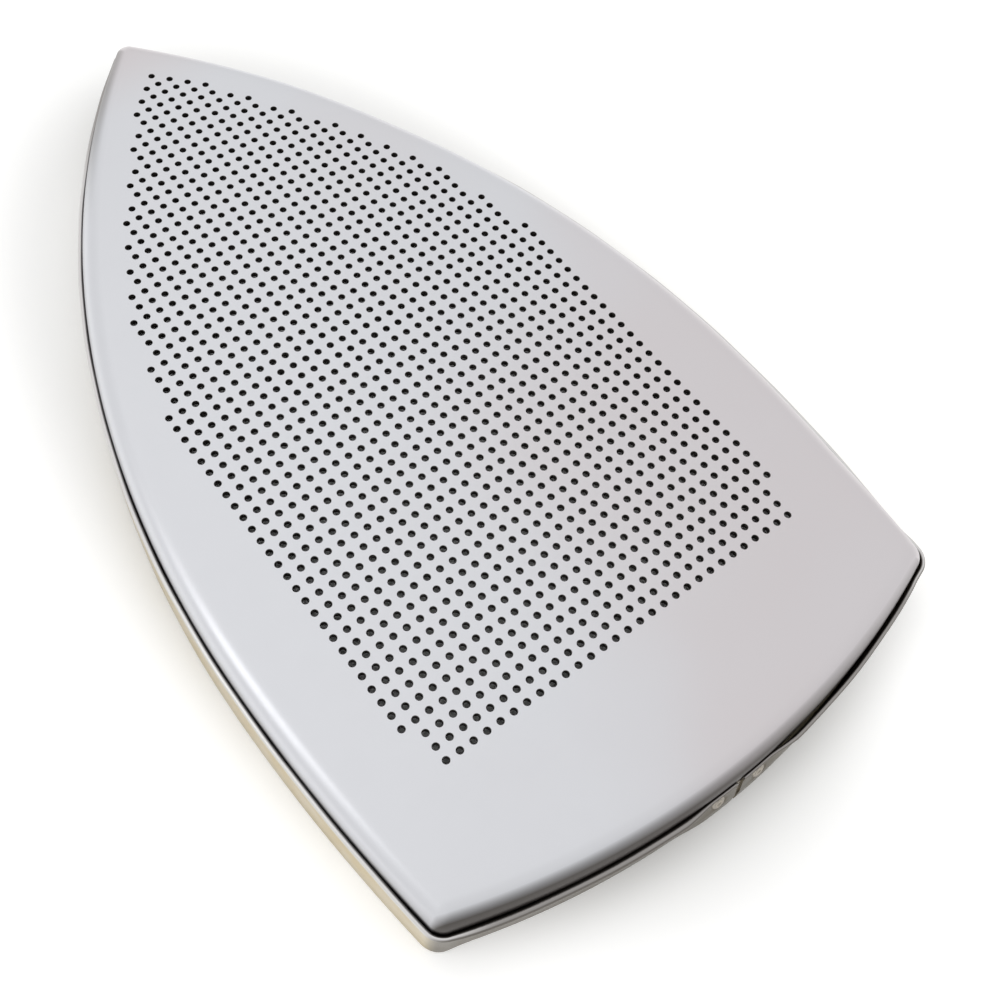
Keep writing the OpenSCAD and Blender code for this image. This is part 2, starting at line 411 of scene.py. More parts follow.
def satin_aluminium(pan):
    """Blasted and clear anodised aluminium sheet: pale and even, with a soft broad sheen and a fine grain.

    It drifts a little between cool and warm. Painted shade darkens the holes' walls and the groove beside the
    bead, and painted dark reflections darken the rounding at the heel and the toe's left side.
    """
    made, tree = new_material("satin_anodised_aluminium")
    coordinates = node(tree, "ShaderNodeTexCoord").outputs
    where = coordinates["Object"]
    at = node(tree, "ShaderNodeSeparateXYZ", {"Vector": where}).outputs
    facing = node(tree, "ShaderNodeSeparateXYZ", {"Vector": coordinates["Normal"]}).outputs

    # warmer towards the right heel corner, in patches 62.5 mm long, and at the toe
    patches = node(tree, "ShaderNodeTexNoise", {"Vector": where, "Scale": 1 / (62.5 * MM), "Detail": 2.0})
    across = node(tree, "ShaderNodeMath", {0: at["X"], 1: 4.0, 2: patches}, operation="MULTIPLY_ADD")
    drift = node(tree, "ShaderNodeMath", {0: at["Y"], 1: -3.0, 2: across}, operation="MULTIPLY_ADD")
    corner = node(tree, "ShaderNodeMapRange", {"Value": drift, "From Min": 0.45, "From Max": 1.05}, **SOFT)
    tip = {"Value": at["Y"], "From Min": 85 * MM, "From Max": 108 * MM}
    shares = {0: corner, 1: node(tree, "ShaderNodeMapRange", tip, **SOFT)}
    warm = node(tree, "ShaderNodeMath", shares, operation="MAXIMUM")
    shades = {"Factor": warm, "A": (*pan.cool_colour, 1), "B": (*pan.warm_colour, 1)}
    sheet = node(tree, "ShaderNodeMix", shades, data_type="RGBA")

    # painted shade in the groove beside the bead, deepening downwards, with a ragged edge
    ragged = node(tree, "ShaderNodeTexNoise", {"Vector": where, "Scale": 1 / (7.143 * MM), "Detail": 4.0})
    level = node(tree, "ShaderNodeMath", {0: ragged, 1: 0.6 * MM, 2: at["Z"]}, operation="MULTIPLY_ADD")
    top, bottom = pan.height - 1.5 * MM, pan.height - 4.6 * MM
    sunk = {"Value": level, "From Min": top, "From Max": bottom, "To Max": 0.8}
    groove = node(tree, "ShaderNodeMapRange", sunk, **SOFT)
    # painted dark reflection on the rounding where it turns to the heel, reaching higher on the left
    to_heel = node(tree, "ShaderNodeMath", {0: facing["X"], 1: 0.5, 2: facing["Y"]}, operation="MULTIPLY_ADD")
    climbed = {"Value": to_heel, "From Min": -0.47, "From Max": -0.88, "To Max": 0.95}
    heel = node(tree, "ShaderNodeMapRange", climbed)
    # and painted dark reflection on the toe's left side
    forward = {"Value": at["Y"], "From Min": 60 * MM, "From Max": 100 * MM, "To Max": 0.7}
    leftward = {"Value": facing["X"], "From Min": -0.15, "From Max": -0.6}
    shares = {
        0: node(tree, "ShaderNodeMapRange", forward, **SOFT),
        1: node(tree, "ShaderNodeMapRange", leftward, **SOFT),
    }
    toe = node(tree, "ShaderNodeMath", shares, operation="MULTIPLY")
    # painted shade on the holes' walls: a hole's wall is steeper than the rounding is at that height
    top, bottom = pan.height, pan.height - pan.edge_radius
    steep = {"Value": at["Z"], "From Min": bottom, "From Max": top, "To Max": 0.9}
    rounding = node(tree, "ShaderNodeMapRange", steep)
    slope = node(tree, "ShaderNodeMath", {0: facing["Z"]}, operation="ABSOLUTE")
    wall = node(tree, "ShaderNodeMath", {0: slope, 1: rounding}, operation="LESS_THAN")
    dark = node(tree, "ShaderNodeMath", {0: wall, 1: 0.96}, operation="MULTIPLY")
    for share in (groove, heel, toe):
        dark = node(tree, "ShaderNodeMath", {0: dark, 1: share}, operation="MAXIMUM")
    shades = {"Factor": dark, "A": sheet, "B": (*pan.painted_shade_colour, 1)}
    base = node(tree, "ShaderNodeMix", shades, data_type="RGBA")

    # gloss varies a little, in patches the size of a finger mark's edge, some 6 mm
    handled = {"Vector": where, "Scale": 1 / (6.25 * MM), "Detail": 5.0, "Roughness": 0.6}
    gloss = {"Value": node(tree, "ShaderNodeTexNoise", handled), "From Min": 0.3, "From Max": 0.7}
    rough = node(tree, "ShaderNodeMapRange", {**gloss, "To Min": 0.31, "To Max": 0.37})
    # the sheet is not quite flat: soft swells about 50 mm long
    swell = {"Vector": where, "Scale": 1 / (50 * MM), "Detail": 1.0, "Roughness": 0.4}
    relief = {"Height": node(tree, "ShaderNodeTexNoise", swell), "Distance": 0.25 * MM}
    soft = node(tree, "ShaderNodeBump", relief)
    # blasted grain is about 0.05 mm; drawn at 0.3 mm so that it shows
    grain = {"Vector": where, "Scale": 1 / (0.303 * MM), "Detail": 2.0, "Roughness": 0.6}
    relief = {"Height": node(tree, "ShaderNodeTexNoise", grain), "Strength": 0.25, "Distance": 0.02 * MM}
    fine = node(tree, "ShaderNodeBump", {**relief, "Normal": soft})
    look = {"Base Color": base, "Metallic": 0.8, "Roughness": rough, "Normal": fine}
    shader = node(tree, "ShaderNodeBsdfPrincipled", look)
    node(tree, "ShaderNodeOutputMaterial", {"Surface": shader})
    return made


def rolled_strip(band):
    """Cold rolled stainless strip: a tight lengthwise grain, a painted warm reflection on the wall, and
    painted dark reflections at the heel and the toe.
    """
    made, tree = new_material("rolled_stainless_strip")
    coordinates = node(tree, "ShaderNodeTexCoord").outputs
    where = coordinates["Object"]
    at = node(tree, "ShaderNodeSeparateXYZ", {"Vector": where}).outputs
    facing = node(tree, "ShaderNodeSeparateXYZ", {"Vector": coordinates["Normal"]}).outputs
    spots = {"Vector": where, "Scale": 1 / (11.11 * MM), "Detail": 5.0, "Roughness": 0.6}
    cloud = node(tree, "ShaderNodeTexNoise", spots)

    # a painted warm reflection covers the wall below the bead, in clouds, and fades out towards the toe
    under = {"Value": at["Z"], "From Min": band.bead_height, "From Max": band.bead_height - 1.2 * MM}
    rear = {"Value": at["Y"], "From Min": 60 * MM, "From Max": -30 * MM, "To Min": 0.15}
    uneven = {"Value": cloud, "From Min": 0.3, "From Max": 0.6, "To Min": 0.7}
    painted_warm_reflection = node(tree, "ShaderNodeMapRange", under)
    for share in (node(tree, "ShaderNodeMapRange", rear, **SOFT), node(tree, "ShaderNodeMapRange", uneven)):
        painted_warm_reflection = node(tree, "ShaderNodeMath", {0: painted_warm_reflection, 1: share}, operation="MULTIPLY")
    shades = {"Factor": painted_warm_reflection, "A": (*band.strip_colour, 1), "B": (*band.warm_reflection_colour, 1)}
    tinted = node(tree, "ShaderNodeMix", shades, data_type="RGBA")

    # darker low on the wall, in the same clouds
    low = {"Value": at["Z"], "From Min": 6 * MM, "From Max": 0.0, "To Max": 0.4}
    shares = {0: node(tree, "ShaderNodeMapRange", low, **SOFT), 1: cloud}
    strip_shade = node(tree, "ShaderNodeMath", shares, operation="MULTIPLY")
    # painted dark reflection on faces turned to the heel, and there the bead's inner side is painted as dark
    # as its outer side
    heelward = {"Value": facing["Y"], "From Min": -0.1, "From Max": -0.75, "To Max": 0.88}
    toeward = {"Value": facing["Y"], "From Min": 0.0, "From Max": 0.5}
    rearmost = {"Value": at["Y"], "From Min": -80 * MM, "From Max": -95 * MM, "To Max": 0.88}
    outer = node(tree, "ShaderNodeMapRange", heelward, **SOFT)
    shares = {0: node(tree, "ShaderNodeMapRange", toeward), 1: node(tree, "ShaderNodeMapRange", rearmost)}
    inner = node(tree, "ShaderNodeMath", shares, operation="MULTIPLY")
    # painted shade: all of the strip is darker at the heel and at the toe
    heel = {"Value": at["Y"], "From Min": -99 * MM, "From Max": -103 * MM, "To Max": 0.6}
    toe = {"Value": at["Y"], "From Min": 75 * MM, "From Max": 98 * MM, "To Max": 0.55}
    ends = [node(tree, "ShaderNodeMapRange", end, **SOFT) for end in (heel, toe)]
    for share in (outer, inner, *ends):
        strip_shade = node(tree, "ShaderNodeMath", {0: strip_shade, 1: share}, operation="MAXIMUM")
    shades = {"Factor": strip_shade, "A": tinted, "B": (*band.strip_shade_colour, 1)}
    base = node(tree, "ShaderNodeMix", shades, data_type="RGBA")

    gloss = {"Value": cloud, "From Min": 0.3, "From Max": 0.7, "To Min": 0.30, "To Max": 0.42}
    rough = node(tree, "ShaderNodeMapRange", gloss)
    # rolling lines some 0.17 mm apart and 33 mm long, on the strip's own map in metres
    run = node(tree, "ShaderNodeUVMap", uv_map="strip")
    lines_at = node(tree, "ShaderNodeMapping", {"Vector": run, "Scale": (30.0, 6000.0, 1.0)})
    rolled = {"Vector": lines_at, "Scale": 1.0, "Detail": 3.0, "Roughness": 0.6}
    relief = {"Height": node(tree, "ShaderNodeTexNoise", rolled), "Strength": 0.35, "Distance": 0.03 * MM}
    grain = node(tree, "ShaderNodeBump", relief)
    look = {"Base Color": base, "Metallic": 1.0, "Roughness": rough, "Normal": grain}
    shader = node(tree, "ShaderNodeBsdfPrincipled", look)
    node(tree, "ShaderNodeOutputMaterial", {"Surface": shader})
    return made


def pressed_steel(joint):
    """Pressed mild steel of strap and rivets: greyer than the strip, with small dents and a worn shine."""
    made, tree = new_material("pressed_steel")
    where = node(tree, "ShaderNodeTexCoord").outputs["Object"]
    dents = {"Vector": where, "Scale": 1 / (1.111 * MM), "Detail": 4.0, "Roughness": 0.6}
    cloud = node(tree, "ShaderNodeTexNoise", dents)
    gloss = {"Value": cloud, "From Min": 0.3, "From Max": 0.7, "To Min": 0.2, "To Max": 0.34}
    rough = node(tree, "ShaderNodeMapRange", gloss)
    relief = {"Height": cloud, "Strength": 0.3, "Distance": 0.04 * MM}
    uneven = node(tree, "ShaderNodeBump", relief)
    look = {"Base Color": (*joint.rivet_colour, 1), "Metallic": 1.0, "Roughness": rough, "Normal": uneven}
    shader = node(tree, "ShaderNodeBsdfPrincipled", look)
    node(tree, "ShaderNodeOutputMaterial", {"Surface": shader})
    return made


def drawn_wire(spring):
    """Bright drawn spring wire: smooth, with faint die marks."""
    made, tree = new_material("bright_drawn_wire")
    where = node(tree, "ShaderNodeTexCoord").outputs["Object"]
    marks = node(tree, "ShaderNodeTexNoise", {"Vector": where, "Scale": 1 / (0.667 * MM), "Detail": 3.0})
    gloss = {"Value": marks, "From Min": 0.3, "From Max": 0.7, "To Min": 0.16, "To Max": 0.28}
    rough = node(tree, "ShaderNodeMapRange", gloss)
    relief = {"Height": marks, "Strength": 0.15, "Distance": 0.02 * MM}
    uneven = node(tree, "ShaderNodeBump", relief)
    look = {"Base Color": (*spring.wire_colour, 1), "Metallic": 1.0, "Roughness": rough, "Normal": uneven}
    shader = node(tree, "ShaderNodeBsdfPrincipled", look)
    node(tree, "ShaderNodeOutputMaterial", {"Surface": shader})
    return made


def pale_paper(stage):
    """Matt background paper. Seen directly or in gloss it is a little paler, as in an overexposed picture."""
    made, tree = new_material("matt_paper")
    where = node(tree, "ShaderNodeTexCoord").outputs["Object"]
    fibres = node(tree, "ShaderNodeTexNoise", {"Vector": where, "Scale": 1 / (1.25 * MM), "Detail": 3.0})
    relief = {"Height": fibres, "Strength": 0.05, "Distance": 0.05 * MM}
    look = {
        "Base Color": (*stage.floor_colour, 1),
        "Roughness": 0.9,
        "Specular IOR Level": 0.1,
        "Normal": node(tree, "ShaderNodeBump", relief),
    }
    paper = node(tree, "ShaderNodeBsdfPrincipled", look)
    path = node(tree, "ShaderNodeLightPath").outputs
    seen = path["Is Camera Ray"]
    for ray in ("Is Glossy Ray", "Is Transmission Ray"):
        seen = node(tree, "ShaderNodeMath", {0: seen, 1: path[ray]}, operation="MAXIMUM")
    # not under the cover, where it would shine through the holes: an oval 120 by 216 mm stays as it is; its
    # soft edge reaches past the cover, so the floor round the cover is left darker, a painted shadow
    shrunk = {"Vector": where, "Scale": (1 / (60 * MM), 1 / (108 * MM), 0.0)}
    oval = node(tree, "ShaderNodeMapping", shrunk)
    away = node(tree, "ShaderNodeVectorMath", {0: oval}, operation="LENGTH").outputs["Value"]
    beyond = node(tree, "ShaderNodeMapRange", {"Value": away, "From Min": 0.97, "From Max": 1.35}, **SOFT)
    for share in (beyond, stage.floor_lift):
        seen = node(tree, "ShaderNodeMath", {0: seen, 1: share}, operation="MULTIPLY")
    glow = node(tree, "ShaderNodeEmission", {"Strength": seen})
    both = node(tree, "ShaderNodeAddShader", {0: paper, 1: glow})
    node(tree, "ShaderNodeOutputMaterial", {"Surface": both})
    return made


# Sole pan


def row_limit(holes, row):
    """Half width that the holes of a row may reach."""
    along = holes.arc_rise - row * holes.pitch
    arc_w = holes.arc_half_width - holes.arc_radius + math.sqrt(holes.arc_radius**2 - along**2)
    extra = (row == holes.long_row) - (row == holes.short_row)
    return min(holes.half_width, arc_w) + extra * holes.pitch


def hole_tile(pan, holes):
    """One square of the sheet with its hole: top with a rounded lip, wall and underside."""
    half, r, lip = holes.pitch / 2, holes.diameter / 2, holes.lip
    top, bottom = pan.height, pan.height - pan.thickness
    n = holes.sides
    corners = [(half, half), (-half, half), (-half, -half), (half, -half)]
    angles = [math.pi / 4 + 2 * math.pi * k / n for k in range(n)]
    circles = [(r + lip, top), (r, top - lip), (r, bottom)]
    vertices = [(x, y, top) for x, y in corners] + [(x, y, bottom) for x, y in corners]
    for radius, z in circles:
        vertices += [(radius * math.cos(a), radius * math.sin(a), z) for a in angles]
    faces = []
    quarter = n // 4
    for q in range(4):
        for level, first in ((0, 8), (4, 8 + 2 * n)):
            rim = [first + (q * quarter + k) % n for k in range(quarter + 1)]
            face = [level + q, level + (q + 1) % 4] + rim[::-1]
            faces.append(face if level == 0 else face[::-1])
    for level in range(2):
        a, b = 8 + level * n, 8 + (level + 1) * n
        faces += [(a + k, b + k, b + (k + 1) % n, a + (k + 1) % n) for k in range(n)]
    return object_from("hole_tile", vertices, faces)


def hole_field_tree():
    """Node tree that sets the tile on a square grid, inside a straight field that ends in two arcs."""
    inputs = {
        "Columns": "Int",
        "Rows": "Int",
        "Spacing": "Float",
        "First row": "Float",
        "Half width": "Float",
        "Arc radius": "Float",
        "Arc half width": "Float",
        "Arc rise": "Float",
        "Short row": "Int",
        "Long row": "Int",
        "Tile": "Object",
        "Material": "Material",
    }
    tree = new_tree("hole_field", inputs)
    given = node(tree, "NodeGroupInput").outputs
    pitch, first = given["Spacing"], given["First row"]
    spans = []
    for count in (given["Columns"], given["Rows"]):
        steps = node(tree, "ShaderNodeMath", {0: count, 1: 1.0}, operation="SUBTRACT")
        spans.append(node(tree, "ShaderNodeMath", {0: steps, 1: pitch}, operation="MULTIPLY"))
    cells = {"Size X": spans[0], "Vertices X": given["Columns"]}
    grid = node(tree, "GeometryNodeMeshGrid", {**cells, "Size Y": spans[1], "Vertices Y": given["Rows"]})
    middle = node(tree, "ShaderNodeMath", {0: spans[1], 1: -0.5, 2: first}, operation="MULTIPLY_ADD")
    shift = node(tree, "ShaderNodeCombineXYZ", {"Y": middle})
    centres = node(tree, "GeometryNodeTransform", {"Geometry": grid, "Translation": shift})

    # half width that the field has in each row, as row_limit gives it
    at = node(tree, "ShaderNodeSeparateXYZ", {"Vector": node(tree, "GeometryNodeInputPosition")}).outputs
    down = node(tree, "ShaderNodeMath", {0: first, 1: at["Y"]}, operation="SUBTRACT")
    along = node(tree, "ShaderNodeMath", {0: given["Arc rise"], 1: down}, operation="SUBTRACT")
    squares = []
    for side in (given["Arc radius"], along):
        squares.append(node(tree, "ShaderNodeMath", {0: side, 1: 2.0}, operation="POWER"))
    left = node(tree, "ShaderNodeMath", {0: squares[0], 1: squares[1]}, operation="SUBTRACT")
    root = node(tree, "ShaderNodeMath", {0: left}, operation="SQRT")
    reaches = {0: given["Arc half width"], 1: given["Arc radius"]}
    inset = node(tree, "ShaderNodeMath", reaches, operation="SUBTRACT")
    curved = node(tree, "ShaderNodeMath", {0: inset, 1: root}, operation="ADD")
    row = node(tree, "ShaderNodeMath", {0: down, 1: pitch}, operation="DIVIDE")
    odd = []
    for name in ("Long row", "Short row"):
        odd.append(node(tree, "ShaderNodeMath", {0: row, 1: given[name], 2: 0.5}, operation="COMPARE"))
    sign = node(tree, "ShaderNodeMath", {0: odd[0], 1: odd[1]}, operation="SUBTRACT")
    narrow = node(tree, "ShaderNodeMath", {0: given["Half width"], 1: curved}, operation="MINIMUM")
    limit = node(tree, "ShaderNodeMath", {0: sign, 1: pitch, 2: narrow}, operation="MULTIPLY_ADD")
    reach = node(tree, "ShaderNodeMath", {0: at["X"]}, operation="ABSOLUTE")
    outside = node(tree, "ShaderNodeMath", {0: reach, 1: limit}, operation="GREATER_THAN")

    dropped = {"Geometry": centres, "Selection": outside}
    kept = node(tree, "GeometryNodeDeleteGeometry", dropped, domain="POINT")
    tile = node(tree, "GeometryNodeObjectInfo", {"Object": given["Tile"], "As Instance": True}).outputs
    tiles = node(tree, "GeometryNodeInstanceOnPoints", {"Points": kept, "Instance": tile["Geometry"]})
    real = node(tree, "GeometryNodeRealizeInstances", {"Geometry": tiles})
    merged = node(tree, "GeometryNodeMergeByDistance", {"Geometry": real, "Distance": 0.002 * MM})
    done = node(tree, "GeometryNodeSetMaterial", {"Geometry": merged, "Material": given["Material"]})
    node(tree, "NodeGroupOutput", {"Geometry": done})
    return tree


def grown(obj, tree, values):
    """The plain mesh that a node tree with the given inputs makes of an object."""
    modifier = obj.modifiers.new("grow", "NODES")
    modifier.node_group = tree
    for item in tree.interface.items_tree:
        if item.item_type == "SOCKET" and item.in_out == "INPUT" and item.name in values:
            modifier[item.identifier] = values[item.name]
    bpy.context.view_layer.update()
    graph = bpy.context.evaluated_depsgraph_get()
    mesh = bpy.data.meshes.new_from_object(obj.evaluated_get(graph), depsgraph=graph)
    obj.modifiers.remove(modifier)
    return mesh


def perforated_field(pan, holes, material):
    """Mesh of all the tiles, grown by the node tree."""
    tile = hole_tile(pan, holes)
    base = object_from("hole_field", [(0, 0, 0)], [])
    mesh = grown(
        base,
        hole_field_tree(),
        {
            "Columns": holes.columns,
            "Rows": holes.rows,
            "Spacing": holes.pitch,
            "First row": holes.first,
            "Half width": holes.half_width,
            "Arc radius": holes.arc_radius,
            "Arc half width": holes.arc_half_width,
            "Arc rise": holes.arc_rise,
            "Short row": holes.short_row,
            "Long row": holes.long_row,
            "Tile": tile,
            "Material": material,
        },
    )
    unlink_rest(base)
    unlink_rest(tile)
    return mesh


def field_border(pan, holes):
    """Corners of the stepped border of the tile field, anticlockwise, with every tile corner on it."""
    half = holes.pitch / 2
    first = holes.first
    right = []
    for row in range(holes.rows):
        reach = math.floor(row_limit(holes, row) / holes.pitch + 1e-6)
        x, y = reach * holes.pitch + half, first - row * holes.pitch
        if right and right[-1][0] != x:
            steps = round((x - right[-1][0]) / holes.pitch)
            sign = 1 if steps > 0 else -1
            for _ in range(abs(steps)):
                right.append((right[-1][0] + sign * holes.pitch, y + half))
        elif not right:
            right.append((x, y + half))
        right.append((x, y - half))
    x_top = right[0][0]
    top = [(x_top - k * holes.pitch, first + half) for k in range(1, round(2 * x_top / holes.pitch))]
    x_end, y_end = right[-1]
    bottom = [(-x_end + k * holes.pitch, y_end) for k in range(1, round(2 * x_end / holes.pitch))]
    left = [(-x, y) for x, y in right]
    return right[::-1] + top + left + bottom


def sheet_margin(pan, holes, rim):
    """Triangles of the flat sheet between the tile field and the rim, once on top and once below."""
    border = field_border(pan, holes)
    points = [Vector(p[:2]) for p in rim] + [Vector(p) for p in border]
    n, m = len(rim), len(border)
    edges = [(i, (i + 1) % n) for i in range(n)] + [(n + i, n + (i + 1) % m) for i in range(m)]
    found = delaunay_2d_cdt(points, edges, [], 0, 1e-7)
    verts, tris = found[0], found[2]
    walls = np.array(border)
    nxt = np.roll(walls, -1, axis=0)
    outer = np.array([p[:2] for p in rim])
    outer_next = np.roll(outer, -1, axis=0)

    def inside(p, a, b):
        cross = (a[:, 1] > p[1]) != (b[:, 1] > p[1])
        rise = np.where(b[:, 1] == a[:, 1], 1, b[:, 1] - a[:, 1])
        x = a[:, 0] + (p[1] - a[:, 1]) / rise * (b[:, 0] - a[:, 0])
        return bool(np.sum(cross & (p[0] < x)) % 2)

    vertices, faces = [], []
    for z, flip in ((pan.height, False), (pan.height - pan.thickness, True)):
        start = len(vertices)
        vertices += [(v[0], v[1], z) for v in verts]
        for t in tris:
            a, b, c = (verts[i] for i in t)
            middle = ((a[0] + b[0] + c[0]) / 3, (a[1] + b[1] + c[1]) / 3)
            if inside(middle, outer, outer_next) and not inside(middle, walls, nxt):
                face = [start + i for i in t]
                faces.append(face[::-1] if flip else face)
    return vertices, faces


class MESH_OT_shoe_sole_pan(bpy.types.Operator):
    """Build the perforated sole with its rounded edge and skirt"""

    bl_idname = "mesh.shoe_sole_pan"
    bl_label = "Sole pan"

    def execute(self, context):
        pan, holes = context.scene.shoe_pan, context.scene.shoe_holes
        material = satin_aluminium(pan)
        stations = walk(outline(pan), 2.4 * MM, math.radians(6))[:-1]
        t, r, top = pan.thickness, pan.edge_radius, pan.height
        reach = r + pan.soften + pan.flat
        # the flat's own outline: corners tighter than the rounding's radius would fold over
        inner_arcs = outline(pan, least=reach + 0.3 * MM)
        foot = context.scene.shoe_band.thickness
        rows = []
        for station in stations:
            # the rounding is larger along the middle of the right side
            y = place(station, 0, 0)[1]
            middle = ease(y, -95 * MM, -70 * MM) * (1 - ease(y, 50 * MM, 85 * MM))
            r = pan.edge_radius + pan.soften * middle * ease(math.cos(station[2]), 0.3, 0.8)
            bend = (-r, top - r)
            section = [(-reach, top - t)]
            section += arc(bend, r - t, 90, 0, 7)
            section += [(-t, foot), (0.0, foot)]
            section += arc(bend, r, 0, 90, 14)
            section += [(-reach, top)]
            c, radius, start, end = inner_arcs[station[4]]
            inner = Vector(place((c, radius, start + station[5] * (end - start)), -reach, 0))
            outer = Vector(place(station, 0, 0))
            rows.append([outer.lerp(inner, -o / reach) + Vector((0, 0, z)) for o, z in section])
        vertices, faces = loft(rows, True)
        n = len(rows[0])
        # the last side of the section is the cut edge of the flat sheet, which the margin closes
        faces = [f for k, f in enumerate(faces) if k % n != n - 1]
        rim = [row[-1] for row in rows]
        more_vertices, more_faces = sheet_margin(pan, holes, rim)
        start = len(vertices)
        piece = object_from(
            "sole_pan_sheet", vertices + more_vertices, faces + [[start + i for i in f] for f in more_faces]
        )
        field = perforated_field(pan, holes, material)
        joined = bmesh.new()
        joined.from_mesh(piece.data)
        joined.from_mesh(field)
        bmesh.ops.remove_doubles(joined, verts=joined.verts, dist=0.003 * MM)
        bmesh.ops.triangulate(joined, faces=[f for f in joined.faces if len(f.verts) > 4])
        bmesh.ops.recalc_face_normals(joined, faces=joined.faces)
        open_edges = sum(1 for e in joined.edges if len(e.link_faces) != 2)
        joined.to_mesh(piece.data)
        joined.free()
        bpy.data.meshes.remove(field)
        if open_edges:
            raise RuntimeError(f"the pan's mesh has {open_edges} open edges")
        smooth(piece, 30)
        dress(piece, material, "sole_pan")
        return {"FINISHED"}


# Rim band


# waves of the bead: share, length in metres and start
WAVES = ((0.6, 0.083, 0.7), (0.4, 0.047, 2.1), (0.3, 0.019, 4.0))


def strip_stand(run, ends, band):
    """How the strip stands at a length run.

    Shifts of wall and bead outwards, the bead's size, the lean's share and how far the foot is tucked in.
    """
    to_joint = min(run, ends[-1] - run)
    on_right = run < ends[-1] / 2
    near_joint = 1 - ease(to_joint, 6 * MM, 14 * MM)
    heel = 1 - ease(to_joint, ends[0] - 4 * MM, ends[0] + 2 * MM)
    heel_left = 0 if on_right else heel * (1 - near_joint)
    toe = 1 - ease(abs(run - (ends[3] + ends[4]) / 2), 4 * MM, 16 * MM)
    # the bead stands off at the right heel corner; on the left the wall bulges a little 52 mm behind the toe
    corner = 1 - ease(abs(run - ends[1] - 0.5 * MM), 0.0, 6.5 * MM)
    kink = 1 - ease(abs(run - ends[4] - 52 * MM), 0.0, 9 * MM)
    wave = band.wave * sum(share * math.sin(run * 2 * math.pi / long + start) for share, long, start in WAVES)
    wall = 0.1 * MM * (heel + near_joint) - 0.4 * MM * toe + 0.7 * band.standoff * corner + 0.2 * MM * kink
    away = wave + 0.2 * MM + 0.3 * MM * heel if on_right else 0.7 * wave + 0.05 * MM
    bead = away * (1 - near_joint) * (1 - toe) + band.standoff * corner - 0.05 * MM * (near_joint + toe)
    # thicker on the left of the heel, thinner at the joint and round the toe
    fuller = 0.05 if on_right else 0.12
    size_share = 1 + fuller * (1 - near_joint) + 0.45 * heel_left - 0.33 * near_joint - 0.2 * toe
    return wall, bead, size_share, near_joint, 0.5 * MM * heel_left


def wall_at(z, stand, band):
    """Offset of the wall's outer side at height z."""
    wall, _, _, lean, tuck = stand
    tilt = max(0.0, (z - band.lean_from) / (band.bead_height - band.lean_from))
    foot = (band.flare - tuck) * (1 - z / band.bead_height)
    return band.gap + band.thickness + wall + foot - band.lean * lean * tilt


def rivet_place(band, joint):
    """Distance of a rivet from the joint's middle: halfway between the strip's end and the strap's."""
    return (joint.strap_length + band.joint) / 4


def dent_at(along, z, band, joint):
    """How far strip and strap are pressed in round a rivet.

    The place is given by the distance along the heel from the joint's middle and by its height.
    """
    away = math.hypot(along - rivet_place(band, joint), z - joint.rivet_height)
    return joint.dent * (1 - ease(away, joint.dent_radius / 2, joint.dent_radius))


def strip_section(stand, band, joint, along):
    """Section of the strip as offsets and heights, anticlockwise: foot, wall, rolled bead."""
    t, bend, foot = band.thickness, band.bend, band.foot
    levels = [z * MM for z in (2.5, 4.0, 5.0, 5.5, 6.0, 6.5, 7.0, 7.5, 8.0, 8.5, 9.0, 9.5)]
    depths = [(foot, 0.1 * MM), (foot - 0.1 * MM, 0.0)]
    depths += [(bend - x, z) for x, z in arc((0.0, bend), bend, -90, 0, 6)]
    depths += [(dent_at(along, z, band, joint), z) for z in levels]
    back = [(t + dent_at(along, z, band, joint), z) for z in levels[-2:1:-1]]
    back += [(bend - x, z) for x, z in arc((0.0, bend), bend - t, 0, -90, 4)]
    back += [(foot - 0.1 * MM, t), (foot, t - 0.1 * MM)]
    r = band.bead_diameter / 2 * stand[2]
    bead = (band.bead_gap + r + stand[1], band.bead_height)
    front = [(wall_at(z, stand, band) - d, z) for d, z in depths]
    return front + arc(bead, r, -35, 215, 16) + [(wall_at(z, stand, band) - d, z) for d, z in back]


class MESH_OT_shoe_rim_band(bpy.types.Operator):
    """Build the rolled strip with its bead, foot and open joint"""

    bl_idname = "mesh.shoe_rim_band"
    bl_label = "Rim band"

    def execute(self, context):
        pan, band, joint = context.scene.shoe_pan, context.scene.shoe_band, context.scene.shoe_joint
        arcs = outline(pan, band.joint / 2)
        ends = arc_ends(arcs)
        stations = walk(arcs, 2.2 * MM, math.radians(5), fine_end=9 * MM)
        round_r = 1.6 * MM
        rows = []
        for station in stations:
            # the end on the left is rounded off at its upper corner
            left_over = ends[-1] - station[3]
            along = min(station[3], left_over) + band.joint / 2
            dip = 0.0
            if left_over < round_r:
                dip = round_r - math.sqrt(round_r**2 - (round_r - left_over) ** 2)
            section = strip_section(strip_stand(station[3], ends, band), band, joint, along)
            row = []
            for offset, z in section:
                row.append(place(station, offset, z - dip * min(1.0, z / band.bead_height) ** 2))
            rows.append(row)
        vertices, faces = loft(rows, False)
        piece = object_from("rim_band_strip", vertices, faces)
        strip_uv(piece, rows, stations)
        clean(piece, merge=0)
        smooth(piece, 35)
        dress(piece, rolled_strip(band), "rim_band")
        return {"FINISHED"}


# Joint

# a head's profile from its middle outwards, in shares of its radius and height: dish, rounded rim, short side
HEAD_PROFILE = (
    (0.0, 0.1),
    (0.2, 0.1),
    (0.34, 0.16),
    (0.46, 0.42),
    (0.56, 0.75),
    (0.65, 0.95),
    (0.74, 1.0),
    (0.84, 0.95),
    (0.93, 0.75),
    (0.985, 0.4),
    (1.0, 0.0),
)


